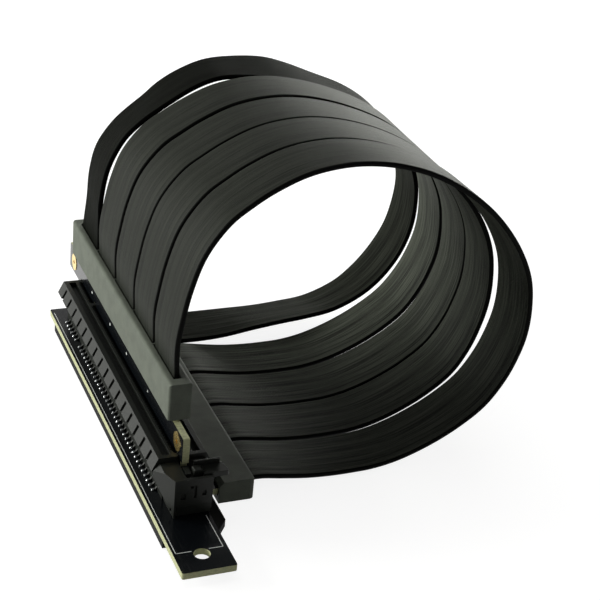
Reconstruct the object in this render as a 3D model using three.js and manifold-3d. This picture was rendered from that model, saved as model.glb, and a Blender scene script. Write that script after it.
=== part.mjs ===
// A riser cable for a x16 graphics card: a slot board and a plug board joined by five flat ribbons.
// Sizes are in millimetres and +Z is up. z = 0 is the flat face that the riser lies on.
// +Y runs along the slot towards contact 1, and +X is the side where the ribbons leave the slot board.
// x = 0 is the middle of the card slot, and y = 0 is the middle of the row of contacts.
import * as THREE from "three";
import { mergeVertices } from "three/addons/utils/BufferGeometryUtils.js";
import Module from "manifold-3d";

const wasm = await Module();
wasm.setup();

// Clearance round a piece that is seated in another
const FIT = 0.3;
// How far a cutting body runs past the face that it opens
const CUT_PAST = 1;
// Straight pieces in each rounded corner, and sides of each round hole and rod
const CORNER_STEPS = 3;
const HOLE_SIDES = 32;

// Contacts: the standard x16 pattern, 82 to a side
const CONTACT_PITCH = 1;
const CONTACTS_BEFORE_KEY = 11;
const CONTACTS_AFTER_KEY = 71;
const KEY_SPAN = 3;
const FIELD_BEFORE_KEY = (CONTACTS_BEFORE_KEY - 1) * CONTACT_PITCH;
const FIELD_AFTER_KEY = (CONTACTS_AFTER_KEY - 1) * CONTACT_PITCH;
const FIELD_LENGTH = FIELD_BEFORE_KEY + KEY_SPAN + FIELD_AFTER_KEY;
const FIELD_FAR = FIELD_LENGTH / 2;
const KEY_Y = FIELD_FAR - FIELD_BEFORE_KEY - KEY_SPAN / 2;

// Pad under the slot board, which the riser lies on
const PAD_THICKNESS = 2;
const PAD_WIDTH = 16.2;
const PAD_FAR = 44;
const PAD_NEAR = 57.6;
const PAD_CORNER_X = 3.2;
const PAD_CORNER_Y = 4.2;

// Slot board
const BOARD_THICKNESS = 1.6;
const BOARD_BOTTOM = PAD_THICKNESS;
const BOARD_TOP = BOARD_BOTTOM + BOARD_THICKNESS;
const BOARD_LEFT = -PAD_WIDTH / 2;
const BOARD_FAR = 49.8;
const BOARD_NEAR = 71.8;
const TONGUE_WIDTH = 12.6;
const FAR_WIDTH = 16.4;
const BOARD_CORNER = 0.5;
const BOARD_HOLE_RADIUS = 1.88;
const BOARD_HOLE_FROM_END = 5.7;

// Card slot housing: a body with a flared rail along each side
const SOCKET_HEIGHT = 11.25;
const SOCKET_END_WALL = 3;
const SOCKET_HALF_LENGTH = FIELD_LENGTH / 2 + SOCKET_END_WALL;
const SOCKET_TOP = BOARD_TOP + SOCKET_HEIGHT;
const BODY_HALF_WIDTH = 4.4;
const RAIL_HALF_WIDTH = 7.25;
const RAIL_TOP_HALF_WIDTH = 5.7;
const RAIL_HEIGHT = 3.1;
const RAIL_UNDERCUT = 0.8;
const RAIL_RIM = 1.2;
const RAIL_BROW = 0.6;
const TROUGH_DEPTH = 1.3;
const LIP_HALF_WIDTH = 2.6;
const PAD_GROOVES = 16;
const GROOVE_PITCH = 5.33;
const GROOVE_WIDTH = 1.2;
const GROOVE_DEPTH = 0.95;
const CELL_WIDTH = 0.6;
const CELL_REACH = 2;
const CELL_DEPTH = 6.5;
const PEG_RADIUS = 1.15;
const PEG_FROM_END = 3.2;

// Plug board, which stands in the card slot
const CARD_THICKNESS = 1.6;
const CARD_CLEARANCE = 0.15;
const CARD_DEPTH = 8;
const CARD_END_MARGIN = 1.3;
const CARD_KEY_WIDTH = 1.9;
const CARD_EDGE_BEVEL = 0.5;
const SLOT_FLOOR_GAP = 0.3;
const SLOT_LEAD_IN = 0.8;
const CARD_HALF = CARD_THICKNESS / 2;
const CARD_BOTTOM = SOCKET_TOP - CARD_DEPTH;
const CARD_HALF_LENGTH = FIELD_LENGTH / 2 + CARD_END_MARGIN;
const SHOULDER = SOCKET_TOP + FIT;
const EAR_HEIGHT = 5.35;
const EAR_TOP = SHOULDER + EAR_HEIGHT;
const FAR_EAR = 57;
const FAR_EAR_DROP = 1.75;
const NECK_HEIGHT = 3.7;
const NECK_HALF_LENGTH = 38.5;
const HELD_HEIGHT = 4.3;
const HOOK_REACH = 2.1;
const HOOK_END = SOCKET_HALF_LENGTH + HOOK_REACH;
const HOOK_LEG = 2.2;
const HOOK_NECK = 1;
const HOOK_DEPTH = 5.75;
const HOOK_TOE = 1.9;
const HOOK_NOTCH = 2.8;
const EYELET_FAR = 52.2;
const EYELET_NEAR = 42.4;
const EYELET_RADIUS = 2.3;
const EYELET_BORE = 0.6;
const EYELET_WALL = 0.7;
const EYELET_FLANGE = 0.15;
const EYELET_RISE = 2.35;
const EYELET_FAR_DROP = 0.95;

// Solder tails in a row along each side of the housing, on every second contact
const TAIL_EVERY = 2;
const TAIL_WIDTH = 0.5;
const TAIL_THICKNESS = 0.3;
const TAIL_RISE = 0.9;
const TAIL_REACH = 0.5;
const TAIL_FOOT = 0.8;

// Latch tower at the near end of the housing
const TOWER_LENGTH = 7.9;
const TOWER_HEIGHT = 10;
const TOWER_LEFT = 4.1;
const TOWER_RIGHT = 4.9;
const TOWER_SHOULDER = 6.9;
const TOWER_NEAR = SOCKET_HALF_LENGTH + TOWER_LENGTH;
const TOWER_TOP = BOARD_TOP + TOWER_HEIGHT;
const TOWER_STEP_HEIGHT = 3;
const TOWER_STEP_DEPTH = 0.9;
const TOWER_FOOT = 0.5;
const TOWER_FORK = 0.5;
const TOWER_FORK_HEIGHT = 2.2;
const TOWER_RECESS = 0.5;
const TOWER_FACET = 1.5;
const TOWER_WINDOW_WALL = 0.8;
const TOWER_WINDOW_HEIGHT = 8.6;
// Sunk fields in the near face: x from and to, then height from and to above the slot board
const TOWER_FIELDS = [
  [0.4, 1.1, 4.9, 8.2],
  [-0.4, 0.5, 7.6, 8.2],
  [-2.7, -1.4, 4.8, 6.4],
  [2.4, 3.4, 5.3, 6.7],
];

// Retention latch, a bell crank on two pins that run along Y
const PIVOT_X = 2.6;
const PIVOT_HEIGHT = 4;
const PIVOT_Z = BOARD_TOP + PIVOT_HEIGHT;
const PIN_RADIUS = 0.8;
const PIN_LENGTH = 1.1;
const BOSS_RADIUS = 1.6;
const LATCH_NEAR_WALL = 1.7;
const LATCH_THICKNESS = 2;
const LATCH_RISE = 0.9;
const CRANK_LEFT = 0.9;
const CRANK_RIGHT = 3.6;
const CRANK_NOSE = 0.9;
const CRANK_STEP = 7.5;
const CRANK_SLOPE = 1;
const BOSS_CORNER = 1;
const NOSE_CORNER = 0.3;
const FINGER_HEIGHT = 1.2;
const CHEEK_LENGTH = 1.2;
const CHEEK_WIDTH = 1.2;
const FINGER_WIDTH = 1.9;
const TAB_LEFT = 3;
const TAB_RIGHT = 9.1;
const TAB_TAPER = 0.7;
const TAB_CORNER = 0.5;
const TAB_THICKNESS = 1.2;
const TAB_RISE = 0.3;
const TAB_NEAR_WALL = 0.8;
const TAB_LENGTH = 3.9;
const TAB_RIB = 0.5;
const TAB_RIB_HEIGHT = 1.3;
const TAB_RIB_LEFT = 1.6;
const TAB_RIB_RIGHT = 7.7;

// Ribbons
const RIBBON_COUNT = 5;
const RIBBON_WIDTH = 15.6;
const RIBBON_THICKNESS = 1.3;
const RIBBON_PITCH = 16.6;
const RIBBON_EDGE = 0.35;
const RIBBON_STEPS = 50;
const RIBBON_SEAT = 3.6;
const RIBBON_LEVEL_RUN = 3;
// The sheet of ribbons sinks towards the far end, and each ribbon stands out by its own reach
const CROWN_DROP = 5.2;
const SIDE_REACHES = [0, 1.1, 0.1, -0.9, 0.3];

// Moulding on the slot board, which the ribbons leave
const SLOT_MOULD_GAP = 2.25;
const SLOT_MOULD_WIDTH = 8.9;
const SLOT_MOULD_HEIGHT = 5.6;
const SLOT_MOULD_END = 3.1;
const SLOT_MOULD_CHAMFER = 1.1;
const SLOT_MOULD_BOARD = 3.5;
const SLOT_EXIT_Z = 3;
const SLOT_MOULD_LEFT = RAIL_HALF_WIDTH + SLOT_MOULD_GAP;
const SLOT_MOULD_RIGHT = SLOT_MOULD_LEFT + SLOT_MOULD_WIDTH;
const BOARD_RIGHT = SLOT_MOULD_LEFT + SLOT_MOULD_BOARD;
const RIBBONS_HALF_LENGTH = (RIBBON_COUNT * RIBBON_PITCH) / 2;
const SLOT_MOULD_HALF_LENGTH = RIBBONS_HALF_LENGTH + SLOT_MOULD_END;
const BOARD_WING = 1;

// Moulding on the plug board
const PLUG_MOULD_LEFT = 3.8;
const PLUG_MOULD_RIGHT = 1.7;
const PLUG_MOULD_HEIGHT = 9.2;
const PLUG_MOULD_END = 2.4;
const PLUG_MOULD_CORNER = 0.8;
const PLUG_MOULD_BOTTOM = EAR_TOP + NECK_HEIGHT;
const PLUG_MOULD_TOP = PLUG_MOULD_BOTTOM + PLUG_MOULD_HEIGHT;
const PLUG_MOULD_HALF_LENGTH = RIBBONS_HALF_LENGTH + PLUG_MOULD_END;
const PLUG_EXIT_X = -1.2;

// Joins: each geometry becomes a closed solid, and each finished solid becomes a geometry again
function solid(geometry) {
  geometry.deleteAttribute("normal");
  geometry.deleteAttribute("uv");
  const merged = mergeVertices(geometry, 1e-5);
  const mesh = new wasm.Mesh({
    numProp: 3,
    vertProperties: new Float32Array(merged.attributes.position.array),
    triVerts: new Uint32Array(merged.index.array),
  });
  return new wasm.Manifold(mesh);
}

function geometryOf(manifold) {
  const mesh = manifold.getMesh();
  const geometry = new THREE.BufferGeometry();
  geometry.setAttribute("position", new THREE.BufferAttribute(mesh.vertProperties, 3));
  geometry.setIndex(new THREE.BufferAttribute(mesh.triVerts, 1));
  geometry.computeVertexNormals();
  return geometry;
}

function joined(solids) {
  return solids.reduce((sum, next) => sum.add(next));
}

function cutAway(body, cutters) {
  return cutters.reduce((rest, cutter) => rest.subtract(cutter), body);
}

// An outline from corners, each [u, v] or, where it is rounded, [u, v, radius]
function outlineOf(corners) {
  const points = corners.flatMap(([u, v, radius], index) => {
    const corner = new THREE.Vector2(u, v);
    if (!radius) return [corner];
    const previous = corners[(index + corners.length - 1) % corners.length];
    const following = corners[(index + 1) % corners.length];
    const back = new THREE.Vector2(previous[0], previous[1]).sub(corner).normalize();
    const ahead = new THREE.Vector2(following[0], following[1]).sub(corner).normalize();
    const halfAngle = Math.acos(back.dot(ahead)) / 2;
    const start = corner.clone().addScaledVector(back, radius / Math.tan(halfAngle));
    const inward = back.clone().add(ahead).normalize();
    const centre = corner.clone().addScaledVector(inward, radius / Math.sin(halfAngle));
    const turn = (Math.PI - 2 * halfAngle) * (back.cross(ahead) > 0 ? -1 : 1);
    const steps = Array.from({ length: CORNER_STEPS + 1 }, (_, step) => step / CORNER_STEPS);
    return steps.map((share) => start.clone().rotateAround(centre, turn * share));
  });
  return new THREE.Shape(points);
}

function extruded(corners, length) {
  return new THREE.ExtrudeGeometry(outlineOf(corners), { depth: length, bevelEnabled: false });
}

// Corners are (y, z), swept from x = low to x = high
function alongX(corners, low, high) {
  const turn = new THREE.Matrix4().set(0, 0, 1, low, 1, 0, 0, 0, 0, 1, 0, 0, 0, 0, 0, 1);
  return solid(extruded(corners, high - low).applyMatrix4(turn));
}

// Corners are (x, z), swept from y = low to y = high
function alongY(corners, low, high) {
  const turn = new THREE.Matrix4().set(1, 0, 0, 0, 0, 0, -1, high, 0, 1, 0, 0, 0, 0, 0, 1);
  return solid(extruded(corners, high - low).applyMatrix4(turn));
}

// Corners are (x, y), swept from z = low to z = high
function alongZ(corners, low, high) {
  return solid(extruded(corners, high - low).translate(0, 0, low));
}

function block(xLow, xHigh, yLow, yHigh, zLow, zHigh) {
  const geometry = new THREE.BoxGeometry(xHigh - xLow, yHigh - yLow, zHigh - zLow);
  return solid(geometry.translate((xLow + xHigh) / 2, (yLow + yHigh) / 2, (zLow + zHigh) / 2));
}

// A round rod along Y, which is also a cylinder's own direction
function rodY(radius, x, z, yLow, yHigh) {
  const geometry = new THREE.CylinderGeometry(radius, radius, yHigh - yLow, HOLE_SIDES);
  return solid(geometry.translate(x, (yLow + yHigh) / 2, z));
}

function rodZ(radius, x, y, zLow, zHigh) {
  const geometry = new THREE.CylinderGeometry(radius, radius, zHigh - zLow, HOLE_SIDES);
  return solid(geometry.rotateX(Math.PI / 2).translate(x, y, (zLow + zHigh) / 2));
}

function rodX(radius, y, z, xLow, xHigh) {
  const geometry = new THREE.CylinderGeometry(radius, radius, xHigh - xLow, HOLE_SIDES);
  return solid(geometry.rotateZ(Math.PI / 2).translate((xLow + xHigh) / 2, y, z));
}

// Both mirror halves of an outline whose right half is given from bottom to top
function mirrored(rightHalf) {
  const leftHalf = rightHalf.map(([x, z]) => [-x, z]).reverse();
  return [...rightHalf, ...leftHalf];
}

function material(color, roughness, metalness) {
  return new THREE.MeshStandardMaterial({ color, roughness, metalness });
}

const finishes = {
  solderMask: () => material(0x0a0b0c, 0.25, 0),
  housingPlastic: () => material(0x17181a, 0.5, 0),
  mouldPlastic: () => material(0x232523, 0.7, 0),
  ribbonJacket: () => material(0x161716, 0.55, 0),
  padFoam: () => material(0x111111, 0.85, 0),
  platedGold: () => material(0xc9a545, 0.3, 1),
};

// Slot board: a long tongue at the near end with the fixing hole, and a wing held in the moulding
function slotBoard() {
  const tongueRight = BOARD_LEFT + TONGUE_WIDTH;
  const wingEnd = SLOT_MOULD_HALF_LENGTH - BOARD_WING;
  const outline = [
    [BOARD_LEFT, -BOARD_NEAR, BOARD_CORNER],
    [tongueRight, -BOARD_NEAR, BOARD_CORNER],
    [tongueRight, -wingEnd],
    [BOARD_RIGHT, -wingEnd],
    [BOARD_RIGHT, wingEnd],
    [BOARD_LEFT + FAR_WIDTH, wingEnd],
    [BOARD_LEFT + FAR_WIDTH, BOARD_FAR, BOARD_CORNER],
    [BOARD_LEFT, BOARD_FAR, BOARD_CORNER],
  ];
  const plate = alongZ(outline, BOARD_BOTTOM, BOARD_TOP);
  const holeX = BOARD_LEFT + TONGUE_WIDTH / 2;
  const holeY = -BOARD_NEAR + BOARD_HOLE_FROM_END;
  const low = BOARD_BOTTOM - CUT_PAST;
  const high = BOARD_TOP + CUT_PAST;
  const pegHoles = pegPlaces().map((place) => rodZ(PEG_RADIUS + FIT, 0, place, low, high));
  return cutAway(plate, [rodZ(BOARD_HOLE_RADIUS, holeX, holeY, low, high), ...pegHoles]);
}

// Pad: its near corners are cut off, and the right one shows beside the tongue
function undersidePad() {
  const half = PAD_WIDTH / 2;
  const outline = [
    [-half, -PAD_NEAR],
    [half - PAD_CORNER_X, -PAD_NEAR],
    [half, -PAD_NEAR + PAD_CORNER_Y],
    [half, PAD_FAR],
    [-half, PAD_FAR],
  ];
  return alongZ(outline, 0, PAD_THICKNESS);
}

// Contact places along Y, from contact 1 at the far end
function contactPlaces() {
  const places = [];
  for (let index = 0; index < CONTACTS_BEFORE_KEY; index += 1) {
    places.push(FIELD_FAR - index * CONTACT_PITCH);
  }
  const first = FIELD_FAR - FIELD_BEFORE_KEY - KEY_SPAN;
  for (let index = 0; index < CONTACTS_AFTER_KEY; index += 1) {
    places.push(first - index * CONTACT_PITCH);
  }
  return places;
}

// Section of the housing: body, flared rails with a rim, troughs and the two lips of the slot
function housingBody() {
  const railLow = SOCKET_TOP - RAIL_HEIGHT;
  const troughFloor = SOCKET_TOP - TROUGH_DEPTH;
  const section = mirrored([
    [BODY_HALF_WIDTH, BOARD_TOP],
    [BODY_HALF_WIDTH, railLow - RAIL_UNDERCUT],
    [RAIL_HALF_WIDTH, railLow],
    [RAIL_TOP_HALF_WIDTH, SOCKET_TOP],
    [RAIL_TOP_HALF_WIDTH - RAIL_RIM, SOCKET_TOP],
    [RAIL_TOP_HALF_WIDTH - RAIL_RIM, troughFloor],
    [LIP_HALF_WIDTH, troughFloor],
    [LIP_HALF_WIDTH, SOCKET_TOP],
  ]);
  const body = alongY(section, -SOCKET_HALF_LENGTH, SOCKET_HALF_LENGTH);
  const endWalls = [-1, 1].map((end) => {
    const outer = end * SOCKET_HALF_LENGTH;
    const inner = end * (SOCKET_HALF_LENGTH - RAIL_RIM);
    const half = RAIL_TOP_HALF_WIDTH - RAIL_RIM / 2;
    return block(-half, half, Math.min(outer, inner), Math.max(outer, inner), troughFloor, SOCKET_TOP);
  });
  return joined([body, ...endWalls]);
}

// Grooves that part each rail's face into a row of pads, cut square to the slanted face
function railGrooves() {
  const railLow = SOCKET_TOP - RAIL_HEIGHT;
  const slant = new THREE.Vector2(RAIL_TOP_HALF_WIDTH - RAIL_HALF_WIDTH, RAIL_HEIGHT).normalize();
  const inward = new THREE.Vector2(-slant.y, slant.x);
  const low = new THREE.Vector2(RAIL_HALF_WIDTH, railLow).addScaledVector(slant, -CUT_PAST);
  const high = new THREE.Vector2(RAIL_TOP_HALF_WIDTH, SOCKET_TOP).addScaledVector(slant, -RAIL_BROW);
  const inner = [low, high].map((point) => point.clone().addScaledVector(inward, GROOVE_DEPTH));
  const outer = [high, low].map((point) => point.clone().addScaledVector(inward, -CUT_PAST));
  const outline = [...inner, ...outer].map((point) => [point.x, point.y]);
  const grooves = [];
  for (let index = 0; index < PAD_GROOVES; index += 1) {
    const middle = (index - (PAD_GROOVES - 1) / 2) * GROOVE_PITCH;
    [-1, 1].forEach((side) => {
      const corners = outline.map(([x, z]) => [side * x, z]);
      grooves.push(alongY(corners, middle - GROOVE_WIDTH / 2, middle + GROOVE_WIDTH / 2));
    });
  }
  return grooves;
}

// Card slot with its lead-in, in two lengths with the key between them
function cardSlot() {
  const half = CARD_HALF + CARD_CLEARANCE;
  const floor = CARD_BOTTOM - SLOT_FLOOR_GAP;
  const top = SOCKET_TOP + CUT_PAST;
  const rise = SLOT_LEAD_IN + CUT_PAST;
  const section = [
    [-half, floor],
    [half, floor],
    [half, SOCKET_TOP - SLOT_LEAD_IN],
    [half + rise, top],
    [-half - rise, top],
    [-half, SOCKET_TOP - SLOT_LEAD_IN],
  ];
  const end = CARD_HALF_LENGTH + FIT;
  const keyHalf = CARD_KEY_WIDTH / 2 - FIT;
  return [alongY(section, -end, KEY_Y - keyHalf), alongY(section, KEY_Y + keyHalf, end)];
}

// Cells along both sides of the slot, one for each contact
function contactCells() {
  const floor = SOCKET_TOP - CELL_DEPTH;
  return contactPlaces().map((place) => {
    const low = place - CELL_WIDTH / 2;
    return block(-CELL_REACH, CELL_REACH, low, low + CELL_WIDTH, floor, SOCKET_TOP + CUT_PAST);
  });
}

// Locating pegs under the housing, which stand in holes of the slot board
function pegPlaces() {
  return [KEY_Y, -SOCKET_HALF_LENGTH + PEG_FROM_END];
}

function locatingPegs() {
  return pegPlaces().map((place) => rodZ(PEG_RADIUS, 0, place, BOARD_BOTTOM + FIT, BOARD_TOP + FIT));
}

// Solder tails: bent strips that leave the foot of the housing and lie on the board
function solderTails() {
  const root = BODY_HALF_WIDTH - TAIL_THICKNESS;
  const bend = BODY_HALF_WIDTH + TAIL_REACH;
  const section = [
    [root, BOARD_TOP],
    [bend + TAIL_FOOT, BOARD_TOP],
    [bend + TAIL_FOOT, BOARD_TOP + TAIL_THICKNESS],
    [bend, BOARD_TOP + TAIL_THICKNESS],
    [BODY_HALF_WIDTH, BOARD_TOP + TAIL_RISE],
    [root, BOARD_TOP + TAIL_RISE],
  ];
  const tails = [];
  contactPlaces().forEach((place, index) => {
    if (index % TAIL_EVERY !== 0) return;
    [-1, 1].forEach((side) => {
      const corners = section.map(([x, z]) => [side * x, z]);
      tails.push(alongY(corners, place - TAIL_WIDTH / 2, place + TAIL_WIDTH / 2));
    });
  });
  return tails;
}

// Places in the tower that the latch and the housing share, along Y and counted from the near face
const POCKET_NEAR = -TOWER_NEAR + LATCH_NEAR_WALL;
const CRANK_NEAR = POCKET_NEAR + FIT;
const CRANK_FAR = CRANK_NEAR + LATCH_THICKNESS;
const POCKET_FAR = CRANK_FAR + FIT;
const TAB_NEAR = -TOWER_NEAR + TAB_NEAR_WALL + FIT;
const TAB_FAR = TAB_NEAR + TAB_LENGTH;
const HOOK_FOOT = SOCKET_TOP - HOOK_DEPTH + FIT;
const NOTCH_LOW = HOOK_FOOT + HOOK_TOE;
const NOTCH_HIGH = NOTCH_LOW + HOOK_NOTCH;
const FINGER_LOW = NOTCH_LOW + FIT;
const HOOK_NECK_Y = -HOOK_END + HOOK_LEG - HOOK_NECK;
const FINGER_FAR = HOOK_NECK_Y - FIT;
const LATCH_TOP = TOWER_TOP + LATCH_RISE;
const TAB_TOP = TOWER_TOP + TAB_RISE;
const STEP_Z = BOARD_TOP + CRANK_STEP;

// Tower: a square core, and cheeks that taper from the rails down to the near foot
function towerBody() {
  const back = -SOCKET_HALF_LENGTH;
  const front = -TOWER_NEAR;
  const overlap = SOCKET_END_WALL / 2;
  const core = block(-TOWER_LEFT, TOWER_RIGHT, front, back + overlap, BOARD_TOP, TOWER_TOP);
  const plan = [
    [-TOWER_LEFT, front],
    [TOWER_RIGHT, front],
    [TOWER_SHOULDER, back - FIT],
    [-TOWER_SHOULDER, back - FIT],
  ];
  const below = [
    [front - CUT_PAST, BOARD_TOP - CUT_PAST],
    [back + CUT_PAST, BOARD_TOP - CUT_PAST],
    [back + CUT_PAST, SOCKET_TOP - RAIL_HEIGHT + CUT_PAST - RAIL_UNDERCUT],
    [back, SOCKET_TOP - RAIL_HEIGHT - RAIL_UNDERCUT],
    [front, BOARD_TOP],
  ];
  const facets = mirrored([
    [TOWER_SHOULDER, BOARD_TOP],
    [TOWER_SHOULDER, TOWER_TOP - TOWER_FACET],
    [TOWER_SHOULDER - TOWER_FACET, TOWER_TOP],
  ]);
  const reach = TOWER_SHOULDER + CUT_PAST;
  const cheeks = alongZ(plan, BOARD_TOP, TOWER_TOP).subtract(alongX(below, -reach, reach));
  return core.add(cheeks.intersect(alongY(facets, front, back)));
}

// Cuts in the tower: the hook's pocket, the latch's pocket, its pin holes and the near face's relief
function towerCuts() {
  const top = SOCKET_TOP + CUT_PAST;
  const right = TOWER_SHOULDER + CUT_PAST;
  const hookHalf = CARD_HALF + FIT;
  const hookNear = -HOOK_END - FIT;
  const hookFar = -HOOK_END + HOOK_LEG + FIT;
  const bossLeft = PIVOT_X - BOSS_RADIUS - FIT;
  const bossLow = PIVOT_Z - BOSS_RADIUS - FIT;
  const crankLeft = -CRANK_LEFT - FIT;
  const pinHole = PIN_RADIUS + FIT;
  const pinEnd = PIN_LENGTH + FIT;
  const windowNear = -TOWER_NEAR + TOWER_WINDOW_WALL;
  const windowLow = BOARD_TOP + TOWER_WINDOW_HEIGHT;
  const windowRight = PIVOT_X + FIT;
  return [
    block(crankLeft, windowRight, windowNear, POCKET_NEAR + CUT_PAST, windowLow, top),
    block(-hookHalf, hookHalf, hookNear, hookFar, HOOK_FOOT - FIT, top),
    block(bossLeft, right, POCKET_NEAR, POCKET_FAR, bossLow, top),
    block(crankLeft, right, POCKET_NEAR, FINGER_FAR + FIT, STEP_Z - FIT, top),
    block(TAB_LEFT - FIT, right, TAB_NEAR - FIT, TAB_FAR + FIT, TAB_TOP - TAB_THICKNESS * 2, top),
    rodY(pinHole, PIVOT_X, PIVOT_Z, CRANK_NEAR - pinEnd, POCKET_NEAR + CUT_PAST),
    rodY(pinHole, PIVOT_X, PIVOT_Z, POCKET_FAR - CUT_PAST, CRANK_FAR + pinEnd),
    ...nearFaceRelief(),
  ];
}

// Relief moulded into the tower's near face: a stepped and forked foot, and the sunk fields
function nearFaceRelief() {
  const face = -TOWER_NEAR;
  const deep = face + TOWER_RECESS;
  const before = face - CUT_PAST;
  const footRight = -TOWER_LEFT + TOWER_FOOT;
  const forkRight = footRight + TOWER_FORK;
  const beyond = TOWER_SHOULDER + CUT_PAST;
  const stepHigh = BOARD_TOP + TOWER_STEP_HEIGHT;
  const forkHigh = BOARD_TOP + TOWER_FORK_HEIGHT;
  const stepBack = face + TOWER_STEP_DEPTH;
  const fields = TOWER_FIELDS.map(([left, right, low, high]) => {
    return block(left, right, before, deep, BOARD_TOP + low, BOARD_TOP + high);
  });
  return [
    block(footRight, beyond, before, stepBack, BOARD_TOP - CUT_PAST, stepHigh),
    block(-beyond, forkRight, stepBack, stepBack + TOWER_FORK, BOARD_TOP - CUT_PAST, forkHigh),
    ...fields,
  ];
}

function slotHousing() {
  const grooved = cutAway(housingBody(), railGrooves());
  const whole = joined([grooved, towerBody(), ...solderTails(), ...locatingPegs()]);
  return cutAway(whole, [...cardSlot(), ...contactCells(), ...towerCuts()]);
}

// Latch: crank with boss and pins, finger in the hook's notch, cheek, and the tab with its rib
function retentionLatch() {
  const fingerTop = FINGER_LOW + FINGER_HEIGHT;
  const crank = [
    [PIVOT_X - BOSS_RADIUS, PIVOT_Z - BOSS_RADIUS, BOSS_CORNER],
    [PIVOT_X + BOSS_RADIUS, PIVOT_Z - BOSS_RADIUS, BOSS_CORNER],
    [PIVOT_X + BOSS_RADIUS, STEP_Z - CRANK_SLOPE],
    [CRANK_RIGHT, STEP_Z + CRANK_SLOPE],
    [CRANK_RIGHT, TAB_TOP],
    [CRANK_RIGHT - LATCH_RISE, LATCH_TOP, NOSE_CORNER],
    [CRANK_NOSE, LATCH_TOP, NOSE_CORNER],
    [CRANK_NOSE, fingerTop],
    [-CRANK_LEFT, fingerTop],
    [-CRANK_LEFT, STEP_Z],
    [PIVOT_X - BOSS_RADIUS, STEP_Z],
  ];
  const tabPlan = [
    [TAB_LEFT, TAB_NEAR],
    [TAB_RIGHT, TAB_NEAR, TAB_CORNER],
    [TAB_RIGHT - TAB_TAPER, TAB_FAR, TAB_CORNER],
    [TAB_LEFT, TAB_FAR],
  ];
  const tabLow = TAB_TOP - TAB_THICKNESS;
  const fingerRight = -CRANK_LEFT + FINGER_WIDTH;
  const cheekFar = CRANK_FAR + CHEEK_LENGTH;
  const cheekRight = -CRANK_LEFT + CHEEK_WIDTH;
  return joined([
    alongY(crank, CRANK_NEAR, CRANK_FAR),
    rodY(PIN_RADIUS, PIVOT_X, PIVOT_Z, CRANK_NEAR - PIN_LENGTH, CRANK_FAR + PIN_LENGTH),
    block(-CRANK_LEFT, fingerRight, CRANK_NEAR + FIT, FINGER_FAR, FINGER_LOW, fingerTop),
    block(-CRANK_LEFT, cheekRight, CRANK_NEAR + FIT, cheekFar, fingerTop - FIT, TOWER_TOP),
    alongZ(tabPlan, tabLow, TAB_TOP),
    block(TAB_RIB_LEFT, TAB_RIB_RIGHT, TAB_FAR - TAB_RIB, TAB_FAR, tabLow, TAB_TOP + TAB_RIB_HEIGHT),
  ]);
}

// Plug board outline, in (y, z): edge connector with its key, hook, two ears and the held edge
function plugBoard() {
  const heldTop = PLUG_MOULD_BOTTOM + HELD_HEIGHT;
  const keyHalf = CARD_KEY_WIDTH / 2;
  const hookFar = -HOOK_END + HOOK_LEG;
  const earFoot = SOCKET_HALF_LENGTH + FIT;
  const earLow = SHOULDER - FAR_EAR_DROP;
  const outline = [
    [-CARD_HALF_LENGTH, CARD_BOTTOM, CARD_EDGE_BEVEL],
    [KEY_Y - keyHalf, CARD_BOTTOM, CARD_EDGE_BEVEL],
    [KEY_Y - keyHalf, SHOULDER],
    [KEY_Y + keyHalf, SHOULDER],
    [KEY_Y + keyHalf, CARD_BOTTOM, CARD_EDGE_BEVEL],
    [CARD_HALF_LENGTH, CARD_BOTTOM, CARD_EDGE_BEVEL],
    [CARD_HALF_LENGTH, SHOULDER],
    [earFoot, SHOULDER],
    [earFoot, earLow],
    [FAR_EAR, earLow, BOARD_CORNER],
    [FAR_EAR, EAR_TOP, BOARD_CORNER],
    [NECK_HALF_LENGTH, EAR_TOP],
    [NECK_HALF_LENGTH, heldTop],
    [-NECK_HALF_LENGTH, heldTop],
    [-NECK_HALF_LENGTH, EAR_TOP],
    [-HOOK_END, EAR_TOP, BOARD_CORNER],
    [-HOOK_END, NOTCH_HIGH],
    [HOOK_NECK_Y, NOTCH_HIGH],
    [HOOK_NECK_Y, NOTCH_LOW],
    [-HOOK_END, NOTCH_LOW],
    [-HOOK_END, HOOK_FOOT, BOARD_CORNER],
    [hookFar, HOOK_FOOT],
    [hookFar, SHOULDER],
    [-CARD_HALF_LENGTH, SHOULDER],
  ];
  const plate = alongX(outline, -CARD_HALF, CARD_HALF);
  const past = CARD_HALF + CUT_PAST;
  const boreRadius = EYELET_BORE + EYELET_WALL + FIT;
  const holes = eyeletPlaces().map(([y, z]) => rodX(boreRadius, y, z, -past, past));
  return cutAway(plate, holes);
}

function eyeletPlaces() {
  const nearZ = SHOULDER + EYELET_RISE;
  return [
    [EYELET_FAR, nearZ - EYELET_FAR_DROP],
    [-EYELET_NEAR, nearZ],
  ];
}

// Plated eyelet: a barrel with a flange on each face of the plug board
function eyelet([y, z]) {
  const face = CARD_HALF;
  const outer = CARD_HALF + EYELET_FLANGE;
  const barrel = EYELET_BORE + EYELET_WALL;
  const profile = [
    [EYELET_BORE, -outer],
    [EYELET_RADIUS, -outer],
    [EYELET_RADIUS, -face],
    [barrel, -face],
    [barrel, face],
    [EYELET_RADIUS, face],
    [EYELET_RADIUS, outer],
    [EYELET_BORE, outer],
    [EYELET_BORE, -outer],
  ].map(([radius, height]) => new THREE.Vector2(radius, height));
  const turned = new THREE.LatheGeometry(profile, HOLE_SIDES);
  return solid(turned.rotateZ(-Math.PI / 2).translate(0, y, z));
}

// Middle of each ribbon along Y, from the far one
function ribbonMiddle(index) {
  return ((RIBBON_COUNT - 1) / 2 - index) * RIBBON_PITCH;
}

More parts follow.
